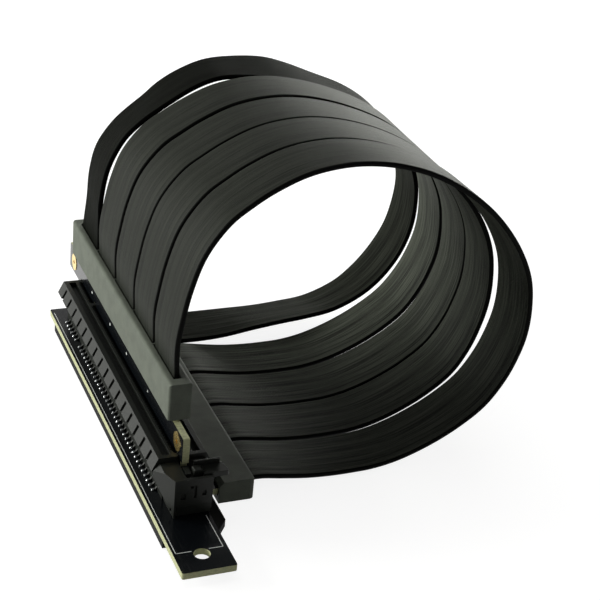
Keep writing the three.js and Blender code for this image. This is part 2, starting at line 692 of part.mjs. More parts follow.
// Slot-board moulding: a bar with its upper edges cut off, round the board's wing and the ribbons' ends
function slotMould() {
  const chamfer = SLOT_MOULD_CHAMFER;
  const half = SLOT_MOULD_HALF_LENGTH;
  const section = [
    [SLOT_MOULD_LEFT, 0],
    [SLOT_MOULD_RIGHT, 0],
    [SLOT_MOULD_RIGHT, SLOT_MOULD_HEIGHT, chamfer / 2],
    [SLOT_MOULD_LEFT + chamfer, SLOT_MOULD_HEIGHT],
    [SLOT_MOULD_LEFT, SLOT_MOULD_HEIGHT - chamfer],
  ];
  const bar = alongY(section, -half, half);
  const plan = [
    [SLOT_MOULD_LEFT - CUT_PAST, -half],
    [SLOT_MOULD_RIGHT, -half, chamfer],
    [SLOT_MOULD_RIGHT, half, chamfer],
    [SLOT_MOULD_LEFT - CUT_PAST, half],
  ];
  const rounded = bar.intersect(alongZ(plan, -CUT_PAST, SLOT_MOULD_HEIGHT + CUT_PAST));
  const wing = half - BOARD_WING + FIT;
  const left = SLOT_MOULD_LEFT - CUT_PAST;
  const cuts = [block(left, BOARD_RIGHT + FIT, -wing, wing, BOARD_BOTTOM - FIT, BOARD_TOP + FIT)];
  const pocketHalf = RIBBON_WIDTH / 2 + FIT;
  const pocketRise = RIBBON_THICKNESS / 2 + FIT;
  const pocketLeft = SLOT_MOULD_RIGHT - RIBBON_SEAT - FIT;
  const pocketRight = SLOT_MOULD_RIGHT + CUT_PAST;
  const low = SLOT_EXIT_Z - pocketRise;
  const high = SLOT_EXIT_Z + pocketRise;
  for (let index = 0; index < RIBBON_COUNT; index += 1) {
    const middle = ribbonMiddle(index);
    cuts.push(block(pocketLeft, pocketRight, middle - pocketHalf, middle + pocketHalf, low, high));
  }
  return cutAway(rounded, cuts);
}

// Plug-board moulding: a bar with rounded corners, over the held edge and round the ribbons' ends
function plugMould() {
  const half = PLUG_MOULD_HALF_LENGTH;
  const corner = PLUG_MOULD_CORNER;
  const section = [
    [-PLUG_MOULD_LEFT, PLUG_MOULD_BOTTOM],
    [PLUG_MOULD_RIGHT, PLUG_MOULD_BOTTOM],
    [PLUG_MOULD_RIGHT, PLUG_MOULD_TOP, corner],
    [-PLUG_MOULD_LEFT, PLUG_MOULD_TOP, corner],
  ];
  const bar = alongY(section, -half, half);
  const plan = [
    [-PLUG_MOULD_LEFT, -half, corner],
    [PLUG_MOULD_RIGHT, -half, corner],
    [PLUG_MOULD_RIGHT, half, corner],
    [-PLUG_MOULD_LEFT, half, corner],
  ];
  const low = PLUG_MOULD_BOTTOM - CUT_PAST;
  const rounded = bar.intersect(alongZ(plan, low, PLUG_MOULD_TOP + CUT_PAST));
  const heldHalf = CARD_HALF + FIT;
  const heldLength = NECK_HALF_LENGTH + FIT;
  const heldTop = PLUG_MOULD_BOTTOM + HELD_HEIGHT + FIT;
  const cuts = [block(-heldHalf, heldHalf, -heldLength, heldLength, low, heldTop)];
  const pocketHalf = RIBBON_WIDTH / 2 + FIT;
  const pocketReach = RIBBON_THICKNESS / 2 + FIT;
  const floor = PLUG_MOULD_TOP - RIBBON_SEAT - FIT;
  const left = PLUG_EXIT_X - pocketReach;
  const right = PLUG_EXIT_X + pocketReach;
  const top = PLUG_MOULD_TOP + CUT_PAST;
  for (let index = 0; index < RIBBON_COUNT; index += 1) {
    const middle = ribbonMiddle(index);
    cuts.push(block(left, right, middle - pocketHalf, middle + pocketHalf, floor, top));
  }
  return cutAway(rounded, cuts);
}

// The near edge of the sheet of ribbons, from plug to slot board: x, z and the shares of reach and drop
const LOOP_POINTS = [
  [-1.4, 41, 0, 0],
  [-0.6, 47.2, 0, 0.1],
  [1, 55.1, 0, 0.25],
  [3.8, 63.1, 0, 0.5],
  [8.9, 70.3, 0, 0.8],
  [13.6, 74, 0, 0.95],
  [18.2, 76.9, 0, 1],
  [25.3, 80.1, 0, 1],
  [32, 81.6, 0, 1],
  [39, 81.95, 0.05, 1],
  [47.3, 80.9, 0.1, 1],
  [57.1, 77.8, 0.2, 0.9],
  [66.8, 72.3, 0.4, 0.5],
  [74.6, 65.8, 0.6, 0.2],
  [81.5, 57.3, 0.8, 0],
  [85.8, 48.8, 0.95, 0],
  [87.4, 40.3, 1, 0],
  [87.3, 33, 1, 0],
  [85.9, 27, 0.9, 0],
  [83.7, 21.4, 0.7, 0],
  [79.4, 14.8, 0.4, 0],
  [73.5, 9.9, 0.2, 0],
  [66, 5.6, 0.1, 0],
  [57.5, 2.3, 0, 0],
  [51, 1, 0, 0],
  [45.5, 0.72, 0, 0],
  [40, 0.72, 0, 0],
  [33.5, 1.15, 0, 0],
  [27, 2.1, 0, 0],
];

// The far ribbon lies looser than the others: it leans out at the side, and the table carries none of it
const FAR_LOOP_POINTS = [
  [-0.7, 41.5],
  [-0.5, 48.5],
  [0.9, 56],
  [4.6, 62.9],
  [8.6, 66.9],
  [13, 70.2],
  [17.3, 73.3],
  [22, 75.9],
  [28.7, 78.2],
  [36, 79.1],
  [45, 78.4],
  [52, 76.7],
  [60, 73.7],
  [69, 69.9],
  [76, 65.7],
  [82.3, 59],
  [86.8, 51],
  [88.9, 44],
  [89.3, 37],
  [88.4, 30],
  [86.3, 24],
  [81.5, 17],
  [75, 10.9],
  [67, 7],
  [58, 5.1],
  [49.5, 4.3],
  [41, 3.7],
  [33.5, 3.2],
  [27, 3],
];

function loopPoints(index) {
  if (index === 0) return FAR_LOOP_POINTS;
  const share = (ribbonMiddle(index) + RIBBONS_HALF_LENGTH) / (2 * RIBBONS_HALF_LENGTH);
  return LOOP_POINTS.map(([x, z, reach, drop]) => {
    return [x + reach * SIDE_REACHES[index], z - drop * share * CROWN_DROP];
  });
}

// Route of one ribbon, which leaves each moulding square to it
function ribbonRoute(index) {
  const points = [
    [PLUG_EXIT_X, PLUG_MOULD_TOP - RIBBON_SEAT],
    [PLUG_EXIT_X, PLUG_MOULD_TOP],
    ...loopPoints(index),
    [SLOT_MOULD_RIGHT + RIBBON_LEVEL_RUN, SLOT_EXIT_Z],
    [SLOT_MOULD_RIGHT, SLOT_EXIT_Z],
    [SLOT_MOULD_RIGHT - RIBBON_SEAT, SLOT_EXIT_Z],
  ];
  const middle = ribbonMiddle(index);
  return new THREE.CatmullRomCurve3(points.map(([x, z]) => new THREE.Vector3(x, middle, z)));
}

// One ribbon: a flat section with its edges cut off, swept along the route
function ribbon(index) {
  const halfWidth = RIBBON_WIDTH / 2;
  const halfThickness = RIBBON_THICKNESS / 2;
  const section = new THREE.Shape([
    new THREE.Vector2(halfWidth, -halfThickness + RIBBON_EDGE),
    new THREE.Vector2(halfWidth, halfThickness - RIBBON_EDGE),
    new THREE.Vector2(halfWidth - RIBBON_EDGE, halfThickness),
    new THREE.Vector2(-halfWidth + RIBBON_EDGE, halfThickness),
    new THREE.Vector2(-halfWidth, halfThickness - RIBBON_EDGE),
    new THREE.Vector2(-halfWidth, -halfThickness + RIBBON_EDGE),
    new THREE.Vector2(-halfWidth + RIBBON_EDGE, -halfThickness),
    new THREE.Vector2(halfWidth - RIBBON_EDGE, -halfThickness),
  ]);
  const settings = { steps: RIBBON_STEPS, extrudePath: ribbonRoute(index), bevelEnabled: false };
  return solid(new THREE.ExtrudeGeometry(section, settings));
}

function addPiece(group, name, body, finish) {
  const mesh = new THREE.Mesh(geometryOf(body), finish());
  mesh.name = name;
  group.add(mesh);
}

const group = new THREE.Group();
addPiece(group, "underside_pad", undersidePad(), finishes.padFoam);
addPiece(group, "slot_board", slotBoard(), finishes.solderMask);
addPiece(group, "slot_housing", slotHousing(), finishes.housingPlastic);
addPiece(group, "retention_latch", retentionLatch(), finishes.housingPlastic);
addPiece(group, "slot_moulding", slotMould(), finishes.mouldPlastic);
addPiece(group, "plug_board", plugBoard(), finishes.solderMask);
addPiece(group, "plug_moulding", plugMould(), finishes.mouldPlastic);
eyeletPlaces().forEach((place, index) => {
  addPiece(group, `plated_eyelet_${index + 1}`, eyelet(place), finishes.platedGold);
});
for (let index = 0; index < RIBBON_COUNT; index += 1) {
  addPiece(group, `ribbon_${index + 1}`, ribbon(index), finishes.ribbonJacket);
}

export default group;
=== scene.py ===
import math

import bmesh
import bpy
from bpy.props import FloatProperty, FloatVectorProperty, IntProperty, PointerProperty
from bpy.types import Operator, Panel, PropertyGroup
from mathutils import Matrix, Vector


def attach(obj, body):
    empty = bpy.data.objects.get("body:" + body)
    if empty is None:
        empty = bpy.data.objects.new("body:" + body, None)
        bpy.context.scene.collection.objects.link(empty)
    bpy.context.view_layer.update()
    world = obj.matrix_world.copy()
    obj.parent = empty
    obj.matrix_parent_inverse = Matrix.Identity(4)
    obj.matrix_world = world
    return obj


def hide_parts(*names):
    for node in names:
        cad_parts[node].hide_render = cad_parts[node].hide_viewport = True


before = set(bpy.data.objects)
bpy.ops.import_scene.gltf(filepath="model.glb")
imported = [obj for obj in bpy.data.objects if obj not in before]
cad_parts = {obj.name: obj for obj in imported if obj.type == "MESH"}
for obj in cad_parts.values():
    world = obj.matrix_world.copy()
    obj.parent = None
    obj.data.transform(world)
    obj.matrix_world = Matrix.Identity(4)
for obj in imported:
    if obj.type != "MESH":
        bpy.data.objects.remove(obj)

bl_info = {
    "name": "Riser cable",
    "version": (1, 0, 0),
    "blender": (4, 2, 0),
    "location": "3D View > Sidebar > Riser",
    "description": "Dresses a graphics card riser cable: ribbons, mouldings, boards and card slot",
    "category": "Object",
}

MM = 0.001

# The ribbons' routes in x and z. Ribbons 2 to 5 lie in one sheet, which sinks towards the far end
PLUG_EXIT = (-1.2, 33.4)
SLOT_EXIT = (18.4, 3.0)
RIBBON_SEAT = 3.6
LEVEL_RUN = 3
RIBBON_COUNT = 5
RIBBON_PITCH = 16.6
# For ribbons 2 to 5: how far the near and the far edge stand out at the side and sink at the crown
SIDE_REACHES = ((0.6, 1.6), (-0.4, 0.6), (-1.4, -0.4), (0.5, 0.1))
CROWN_DROPS = ((2.7, 3.2), (1.95, 2.75), (1.05, 1.95), (0, 0.7))
# How far each ribbon slips along Y between its mouldings
SIDE_SLIPS = (0, -0.8, -0.8, 0.1, 0.1)
# The sheet's near edge: x, z and the shares of reach and drop
LOOP_POINTS = (
    (-1.4, 41, 0, 0),
    (-0.6, 47.2, 0, 0.1),
    (1, 55.1, 0, 0.25),
    (3.8, 63.1, 0, 0.5),
    (8.9, 70.3, 0, 0.8),
    (13.6, 74, 0, 0.95),
    (18.2, 76.9, 0, 1),
    (25.3, 80.1, 0, 1),
    (32, 81.6, 0, 1),
    (39, 81.95, 0.05, 1),
    (47.3, 80.9, 0.1, 1),
    (57.1, 77.8, 0.2, 0.9),
    (66.8, 72.3, 0.4, 0.5),
    (74.6, 65.8, 0.6, 0.2),
    (81.5, 57.3, 0.8, 0),
    (85.8, 48.8, 0.95, 0),
    (87.4, 40.3, 1, 0),
    (87.3, 33, 1, 0),
    (85.9, 27, 0.9, 0),
    (83.7, 21.4, 0.7, 0),
    (79.4, 14.8, 0.4, 0),
    (73.5, 9.9, 0.2, 0),
    (66, 5.6, 0.1, 0),
    (57.5, 2.3, 0, 0),
    (51, 1, 0, 0),
    (45.5, 0.72, 0, 0),
    (40, 0.72, 0, 0),
    (33.5, 1.15, 0, 0),
    (27, 2.1, 0, 0),
)
# Ribbon 1 twists as it goes round, so its near and far edges have a line each
FAR_RIBBON_NEAR = (
    (-1.3, 41.5), (-1.25, 46.2), (0.4, 55.6), (4.2, 63.2), (7.8, 66.9), (10.6, 69.1), (13.6, 71.1),
    (18.2, 74), (21, 75.6), (25.5, 77.5), (29.9, 78.4), (38, 78.1), (44, 77.2), (51, 75.5), (59.2, 72.6),
    (68.8, 68.2), (75.7, 64), (81.7, 57.4), (86, 51), (88.2, 45), (88.9, 39), (88.6, 32.5), (86.9, 26.2),
    (84.4, 21.2), (80.2, 15.8), (75, 11.6), (67, 7.9), (59, 6.5), (51.8, 5.75), (43.5, 4.7), (35.4, 3.45),
    (29, 3.0),
)
FAR_RIBBON_FAR = (
    (-0.4, 41.5), (0.1, 49.3), (1.8, 56.2), (5.6, 61.9), (8.9, 65.1), (13.4, 68.7), (17.1, 72.0), (22, 75.0),
    (28.7, 77.6), (35.5, 78.3), (45, 77.85), (51.1, 76.2), (59.1, 73.1), (68.8, 69.2), (75.6, 65), (82, 58.9),
    (86.8, 51), (89.4, 44), (90.0, 38.5), (88.9, 30), (87.2, 24.8), (83.2, 18), (79, 13), (73.6, 8.5),
    (64.5, 4.7), (56, 3.6), (48.5, 3.05), (39, 3.0), (29, 3.0),
)

# The slot board's top face and the places of its solder tails
BOARD_TOP = 3.6
TAIL_FOOT_X = 5.38
CONTACTS_BEFORE_KEY = 11
CONTACTS_AFTER_KEY = 71
FIELD_FAR = 41.5
AFTER_KEY_FAR = 28.5
# The tinned ends of the tails: where they start beside the slot, how high they reach, and the nearest place
TIN_START_X = 5.1
TIN_HEIGHT = 1.25
TIN_NEAR = -44.0
# The half sizes of one mound of solder, in metres
SOLDER_MOUND = {"Length": 0.42 * MM, "Width": 0.32 * MM, "Height": 0.36 * MM}

# The ribbon's section: rounding of its edges, and where its inner face starts on the map across
EDGE_ROUNDING = 0.42
INNER_MAP_START = 24
FACE_SPLIT = 20
WEAVE_PITCH = 0.9

# The print: lines from point to point on the slot board. The pale marks on the plug board: middle, span, low
# and high
PRINT_OUTLINE = (
    ((-7.4, 47.5), (-7.4, -64.75)),
    ((-7.4, -64.75), (-3.9, -64.75)),
    ((0.3, -64.75), (3.5, -64.75)),
    ((3.5, -64.75), (3.5, -53.0)),
)
PALE_MARKS = (
    (33, 0.8, 16.5, 17.1),
    (15, 0.7, 16.5, 17.1),
    (-0.5, 0.7, 16.5, 17.1),
    (-19, 0.6, 16.6, 17.1),
)
PRINT_LIFT = 0.004
PLUG_MARK_X = -0.804

# The camera's azimuth, elevation and roll in degrees, and its lengths in millimetres
VIEW_ANGLES = (-24.28, 27.40, 5.83)
VIEW_TARGET = (31.74, -29.69, 43.6)
VIEW_DISTANCE = 351.45
VIEW_LENS = 90.39
LAMP_TARGET = (0.03, 0, 0.04)
FLOOR_REACH = 4000
FLOOR_Z = -0.15
FLOOR_GLOW = 0.86

RANGE_SOCKETS = ("From Min", "From Max", "To Min", "To Max")


def colour_property(name, description, default):
    return FloatVectorProperty(
        name=name, description=description, subtype="COLOR", size=3, min=0, max=1, default=default
    )


def length_property(name, description, default):
    return FloatProperty(name=name, description=description, default=default, unit="LENGTH", precision=5)


def power_property(name, description, default):
    return FloatProperty(name=name, description=description, default=default, min=0, unit="POWER")


class RibbonSettings(PropertyGroup):
    width: length_property("Width", "Width of one ribbon", 15.6 * MM)
    thickness: length_property("Thickness", "Thickness of one ribbon", 1.3 * MM)
    ridge_depth: length_property("Ridge depth", "Depth of the valleys between two wires", 0.035 * MM)
    wires: IntProperty(name="Wires", description="Wires side by side in one ribbon", default=26, min=2)
    steps: IntProperty(name="Steps", description="Sections along the route", default=170, min=20)
    colour: colour_property("Jacket", "Colour of the jacket", (0.008, 0.0088, 0.0072))
    worn: colour_property("Rubbed jacket", "Colour of the jacket's rubbed streaks", (0.085, 0.092, 0.074))


class PlasticSettings(PropertyGroup):
    mould: colour_property("Mouldings", "Colour of the two mouldings", (0.115, 0.127, 0.103))
    housing: colour_property("Slot housing", "Colour of the card slot and its latch", (0.015, 0.0165, 0.014))
    foam: colour_property("Pad", "Colour of the pad under the slot board", (0.006, 0.006, 0.006))


class BoardSettings(PropertyGroup):
    mask: colour_property("Solder mask", "Colour of the boards' lacquer", (0.0035, 0.0045, 0.006))
    core: colour_property("Board core", "Colour of the boards' cut edges", (0.52, 0.53, 0.30))
    print_colour: colour_property("Print", "Colour of the printed lines", (0.80, 0.82, 0.80))
    print_width: length_property("Print width", "Width of the printed lines", 0.17 * MM)
    print_height: length_property("Print height", "Thickness of the printed lines", 0.03 * MM)
    gold: colour_property("Eyelets", "Colour of the plated eyelets", (0.95, 0.72, 0.28))
    solder: colour_property("Solder", "Colour of the solder", (0.72, 0.74, 0.76))


class StageSettings(PropertyGroup):
    floor: colour_property("Floor", "Colour of the floor", (0.36, 0.36, 0.36))
    top_power: power_property("Top light", "Power of the light overhead", 3)
    side_power: power_property("Side light", "Power of the light at the left", 9)
    rim_power: power_property("Rim light", "Power of the light behind", 7)
    sky: FloatProperty(name="Sky", description="Strength of the light from above", default=0.2, min=0)


# Shader building


def range_node(nodes, low, high, new_low, new_high):
    """A node that turns one range of numbers into another."""
    node = nodes.new("ShaderNodeMapRange")
    for socket, number in zip(RANGE_SOCKETS, (low, high, new_low, new_high)):
        node.inputs[socket].default_value = number
    return node


class Shader:
    """One node material, with short calls for the nodes that this object's finishes use."""

    def __init__(self, name, colour=(0.5, 0.5, 0.5), roughness=0.5, metallic=0.0, specular=0.5):
        self.material = bpy.data.materials.new(name)
        self.material.use_nodes = True
        self.nodes = self.material.node_tree.nodes
        self.links = self.material.node_tree.links
        self.surface = next(n for n in self.nodes if n.type == "BSDF_PRINCIPLED")
        self.set("Base Color", (*colour, 1))
        self.set("Roughness", roughness)
        self.set("Metallic", metallic)
        self.set("Specular IOR Level", specular)
        self.material.diffuse_color = (*colour, 1)

    def set(self, socket, value):
        self.surface.inputs[socket].default_value = value

    def join(self, output, target):
        self.links.new(output, target)

    def to_surface(self, output, socket):
        self.join(output, self.surface.inputs[socket])

    def coordinates(self, kind):
        return self.nodes.new("ShaderNodeTexCoord").outputs[kind]

    def scaled(self, vector, scale):
        node = self.nodes.new("ShaderNodeMapping")
        self.join(vector, node.inputs["Vector"])
        node.inputs["Scale"].default_value = scale
        return node.outputs["Vector"]

    def noise(self, vector, scale, detail=2.0, roughness=0.5):
        node = self.nodes.new("ShaderNodeTexNoise")
        self.join(vector, node.inputs["Vector"])
        node.inputs["Scale"].default_value = scale
        node.inputs["Detail"].default_value = detail
        node.inputs["Roughness"].default_value = roughness
        return node.outputs["Fac"]

    def math(self, operation, first, second=None):
        node = self.nodes.new("ShaderNodeMath")
        node.operation = operation
        for socket, value in zip(node.inputs, (first, second)):
            if value is None:
                continue
            if isinstance(value, (int, float)):
                socket.default_value = value
            else:
                self.join(value, socket)
        return node.outputs[0]

    def parts(self, vector):
        node = self.nodes.new("ShaderNodeSeparateXYZ")
        self.join(vector, node.inputs[0])
        return node.outputs

    def range(self, value, low, high, new_low, new_high):
        node = range_node(self.nodes, low, high, new_low, new_high)
        self.join(value, node.inputs["Value"])
        return node.outputs["Result"]

    def blend(self, factor, first, second):
        node = self.nodes.new("ShaderNodeMix")
        node.data_type = "RGBA"
        self.join(factor, node.inputs[0])
        for socket, value in ((node.inputs[6], first), (node.inputs[7], second)):
            if isinstance(value, (tuple, list)) or hasattr(value, "hsv"):
                socket.default_value = (*tuple(value)[:3], 1)
            else:
                self.join(value, socket)
        return node.outputs[2]

    def bump(self, height, distance, strength=1.0, normal=None):
        node = self.nodes.new("ShaderNodeBump")
        self.join(height, node.inputs["Height"])
        node.inputs["Distance"].default_value = distance
        node.inputs["Strength"].default_value = strength
        if normal is not None:
            self.join(normal, node.inputs["Normal"])
        return node.outputs["Normal"]

    def soft_edges(self, radius):
        node = self.nodes.new("ShaderNodeBevel")
        node.samples = 4
        node.inputs["Radius"].default_value = radius
        return node.outputs["Normal"]


def jacket_material(name, settings, shade_tone, gloss):
    """Rubber-like jacket: long fine streaks, painted shade on the rounded edges and on the outer face, and a
    faint cross weave on the inner face.
    """
    # The shade tone darkens the jacket's colours as painted shade; a tone of 1 leaves them as they are.
    jacket = tuple(shade_tone * channel for channel in settings.colour)
    worn = tuple(shade_tone * channel for channel in settings.worn)
    shader = Shader(name, jacket, roughness=0.45, specular=gloss)
    place = shader.coordinates("UV")
    across, along, _ = shader.parts(place)
    streaks = shader.noise(shader.scaled(place, (3.4, 0.045, 1)), 1.0, detail=5, roughness=0.75)
    bands = shader.noise(shader.scaled(place, (0.5, 0.010, 1)), 1.0, detail=2)
    shade = shader.math("ADD", streaks, shader.math("MULTIPLY", shader.math("SUBTRACT", bands, 0.5), 0.35))
    # Painted shade on the outer face: this factor keeps only 0.3 of the pale streaks there, and all of them
    # on the inner face.
    shade_weighted = shader.range(across, FACE_SPLIT - 1, FACE_SPLIT + 1, 0.3, 1.0)
    factor = shader.math("MULTIPLY", shader.range(shade, 0.36, 0.62, 0.0, 1.0), shade_weighted)
    # Painted shade: the jacket darkens to near black on its rounded edges.
    from_edge = shader.math("MODULO", across, INNER_MAP_START)
    middle = shader.math("ABSOLUTE", shader.math("SUBTRACT", from_edge, settings.width / MM / 2))
    side = shader.range(middle, 7.35, 7.6, 1.0, 0.05)
    colour = shader.blend(factor, jacket, worn)
    shader.to_surface(shader.blend(side, (0.0015, 0.0015, 0.0015), colour), "Base Color")
    inner = shader.math("GREATER_THAN", across, FACE_SPLIT)
    rib = shader.math("SINE", shader.math("MULTIPLY", along, 2 * math.pi / WEAVE_PITCH))
    weft = shader.math("SINE", shader.math("MULTIPLY", across, 2 * math.pi / WEAVE_PITCH))
    weave = shader.math("MULTIPLY", shader.math("MULTIPLY", rib, weft), shader.math("MULTIPLY", inner, 0.35))
    height = shader.math("ADD", weave, shader.math("MULTIPLY", streaks, 2.2))
    shader.to_surface(shader.bump(height, 0.03 * MM, 0.9), "Normal")
    shader.to_surface(shader.range(streaks, 0.3, 0.7, 0.38, 0.55), "Roughness")
    return shader.material


def moulding_material(settings):
    """Fine spark-eroded texture of the two mouldings."""
    shader = Shader("mould_plastic", settings.mould, roughness=0.6, specular=0.12)
    place = shader.scaled(shader.coordinates("Object"), (1000, 1000, 1000))
    grain = shader.noise(place, 3.2, detail=3, roughness=0.6)
    cloud = shader.noise(place, 0.25, detail=3)
    dark = tuple(0.9 * channel for channel in settings.mould)
    pale = tuple(1.1 * channel for channel in settings.mould)
    shader.to_surface(shader.blend(shader.range(cloud, 0.35, 0.65, 0, 1), dark, pale), "Base Color")
    normal = shader.bump(grain, 0.06 * MM, 0.7, shader.soft_edges(0.25 * MM))
    shader.to_surface(normal, "Normal")
    shader.to_surface(shader.range(grain, 0.3, 0.7, 0.52, 0.68), "Roughness")
    return shader.material


def housing_material(settings, solder):
    """Satin plastic of the card slot, with tinned metal on its solder tails."""
    shader = Shader("housing_plastic", settings.housing, roughness=0.42, specular=0.15)
    place = shader.scaled(shader.coordinates("Object"), (1000, 1000, 1000))
    x, y, z = shader.parts(place)
    outside = shader.math("GREATER_THAN", shader.math("ABSOLUTE", x), TIN_START_X)
    low = shader.math("LESS_THAN", z, BOARD_TOP + TIN_HEIGHT)
    beside = shader.math("GREATER_THAN", y, TIN_NEAR)
    tail = shader.math("MULTIPLY", shader.math("MULTIPLY", outside, low), beside)
    grain = shader.noise(place, 4.5, detail=2)
    shader.to_surface(shader.blend(tail, settings.housing, solder), "Base Color")
    shader.to_surface(tail, "Metallic")
    shader.to_surface(shader.range(grain, 0.3, 0.7, 0.34, 0.48), "Roughness")
    shader.to_surface(shader.bump(grain, 0.02 * MM, 0.5, shader.soft_edges(0.12 * MM)), "Normal")
    return shader.material


def board_material(name, settings, face_axis):
    """Lacquered board: glossy mask with faint traces on its faces and bare glass fibre on its edges."""
    shader = Shader(name, settings.mask, roughness=0.22, specular=0.5)
    normal_parts = shader.parts(shader.coordinates("Normal"))
    edge = shader.math("LESS_THAN", shader.math("ABSOLUTE", normal_parts[face_axis]), 0.5)
    place = shader.scaled(shader.coordinates("Object"), (1000, 1000, 1000))
    fibre = shader.noise(shader.scaled(place, (0.6, 0.6, 5.0)), 2.0, detail=3)
    pale = tuple(min(1.0, 1.2 * channel) for channel in settings.core)
    dull = tuple(0.72 * channel for channel in settings.core)
    core = shader.blend(shader.range(fibre, 0.35, 0.65, 0, 1), dull, pale)
    shader.to_surface(shader.blend(edge, settings.mask, core), "Base Color")
    shader.to_surface(shader.range(edge, 0, 1, 0.2, 0.6), "Roughness")
    traces = shader.noise(shader.scaled(place, (1.4, 0.12, 1.4)), 1.0, detail=1)
    steps = shader.math("SNAP", traces, 0.08)
    shader.to_surface(shader.bump(steps, 0.08 * MM, 0.4), "Normal")
    return shader.material


def plain_metal(name, colour, roughness):
    shader = Shader(name, colour, roughness=roughness, metallic=1.0)
    place = shader.scaled(shader.coordinates("Object"), (1000, 1000, 1000))
    grain = shader.noise(place, 5.0, detail=2)
    shader.to_surface(shader.range(grain, 0.3, 0.7, roughness * 0.8, roughness * 1.3), "Roughness")
    shader.to_surface(shader.bump(grain, 0.02 * MM, 0.4), "Normal")
    return shader.material


def print_material(settings):
    """Matt ink, thinner in places."""
    shader = Shader("board_print", settings.print_colour, roughness=0.55)
    place = shader.scaled(shader.coordinates("Object"), (1000, 1000, 1000))
    worn = shader.noise(place, 2.5, detail=3)
    grey = tuple(0.6 * channel for channel in settings.print_colour)
    thickness = shader.range(worn, 0.3, 0.55, 0, 1)
    shader.to_surface(shader.blend(thickness, grey, settings.print_colour), "Base Color")
    return shader.material


def foam_material(settings):
    shader = Shader("pad_foam", settings.foam, roughness=0.9, specular=0.25)
    place = shader.scaled(shader.coordinates("Object"), (1000, 1000, 1000))
    pores = shader.noise(place, 6.0, detail=3, roughness=0.7)
    pale = tuple(2.2 * channel for channel in settings.foam)
    shader.to_surface(shader.blend(shader.range(pores, 0.35, 0.7, 0, 1), settings.foam, pale), "Base Color")
    shader.to_surface(shader.bump(pores, 0.08 * MM, 0.8), "Normal")
    return shader.material


# Mesh building


def paint(node, material):
    """Gives a CAD node its material."""
    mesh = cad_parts[node].data
    mesh.materials.clear()
    mesh.materials.append(material)


def add_object(name, mesh, material, body="riser"):
    """Links a finished mesh as a piece that rides on a body."""
    if material is not None:
        mesh.materials.clear()
        mesh.materials.append(material)
    piece = bpy.data.objects.new(name, mesh)
    bpy.context.scene.collection.objects.link(piece)
    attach(piece, body)
    return piece


def mesh_from(name, vertices, faces):
    """A mesh from points in millimetres."""
    mesh = bpy.data.meshes.new(name)
    mesh.from_pydata([Vector(v) * MM for v in vertices], [], faces)
    mesh.update()
    return mesh


def prism(points, low, high, place):
    """Vertices and faces of a flat outline between two heights; place turns (u, v, height) to x, y, z."""
    count = len(points)
    vertices = [place(u, v, low) for u, v in points] + [place(u, v, high) for u, v in points]
    faces = [list(range(count))[::-1], list(range(count, 2 * count))]
    for i in range(count):
        j = (i + 1) % count
        faces.append([i, j, count + j, count + i])
    return vertices, faces


def solid_mesh(name, solids):
    """One mesh from several closed bodies, with every face turned outwards."""
    vertices, faces = [], []
    for some_vertices, some_faces in solids:
        start = len(vertices)
        vertices += some_vertices
        faces += [[start + i for i in face] for face in some_faces]
    mesh = mesh_from(name, vertices, faces)
    work = bmesh.new()
    work.from_mesh(mesh)
    bmesh.ops.recalc_face_normals(work, faces=work.faces)
    work.to_mesh(mesh)
    work.free()
    return mesh


# Ribbons


def smooth_route(points, per_span=24):
    """A centripetal Catmull-Rom line through points in a plane, as the part's own route has."""
    points = [Vector(p) for p in points]
    ends = [points[0] * 2 - points[1]] + points + [points[-1] * 2 - points[-2]]
    line = []
    for i in range(len(points) - 1):
        p0, p1, p2, p3 = ends[i:i + 4]
        dt0, dt1, dt2 = ((b - a).length ** 0.5 for a, b in ((p0, p1), (p1, p2), (p2, p3)))
        start = ((p1 - p0) / dt0 - (p2 - p0) / (dt0 + dt1) + (p2 - p1) / dt1) * dt1
        end = ((p2 - p1) / dt1 - (p3 - p1) / (dt1 + dt2) + (p3 - p2) / dt2) * dt1
        for k in range(per_span):
            t = k / per_span
            square = -3 * p1 + 3 * p2 - 2 * start - end
            cube = 2 * p1 - 2 * p2 + start + end
            line.append(p1 + start * t + square * t * t + cube * t ** 3)
    line.append(points[-1])
    return line


def evenly(line, steps):
    """Points at even distances along a line."""
    lengths = [0.0]
    for a, b in zip(line, line[1:]):
        lengths.append(lengths[-1] + (b - a).length)
    total, spot, out = lengths[-1], 0, []
    for k in range(steps + 1):
        goal = total * k / steps
        while spot < len(line) - 2 and lengths[spot + 1] < goal:
            spot += 1
        span = lengths[spot + 1] - lengths[spot]
        share = (goal - lengths[spot]) / span if span else 0
        out.append(line[spot].lerp(line[spot + 1], share))
    return out


def edge_route(index, far):
    """The route in x and z of one edge of a ribbon, from inside one moulding to inside the other."""
    if index == 0:
        loop = FAR_RIBBON_FAR if far else FAR_RIBBON_NEAR
    else:
        side = 1 if far else 0
        out = SIDE_REACHES[index - 1][side]
        down = CROWN_DROPS[index - 1][side]
        loop = [(x + reach * out, z - drop * down) for x, z, reach, drop in LOOP_POINTS]
    plug_x, plug_z = PLUG_EXIT
    slot_x, slot_z = SLOT_EXIT
    start = [(plug_x, plug_z - RIBBON_SEAT), (plug_x, plug_z)]
    return [*start, *loop, (slot_x + LEVEL_RUN, slot_z), (slot_x, slot_z), (slot_x - RIBBON_SEAT, slot_z)]


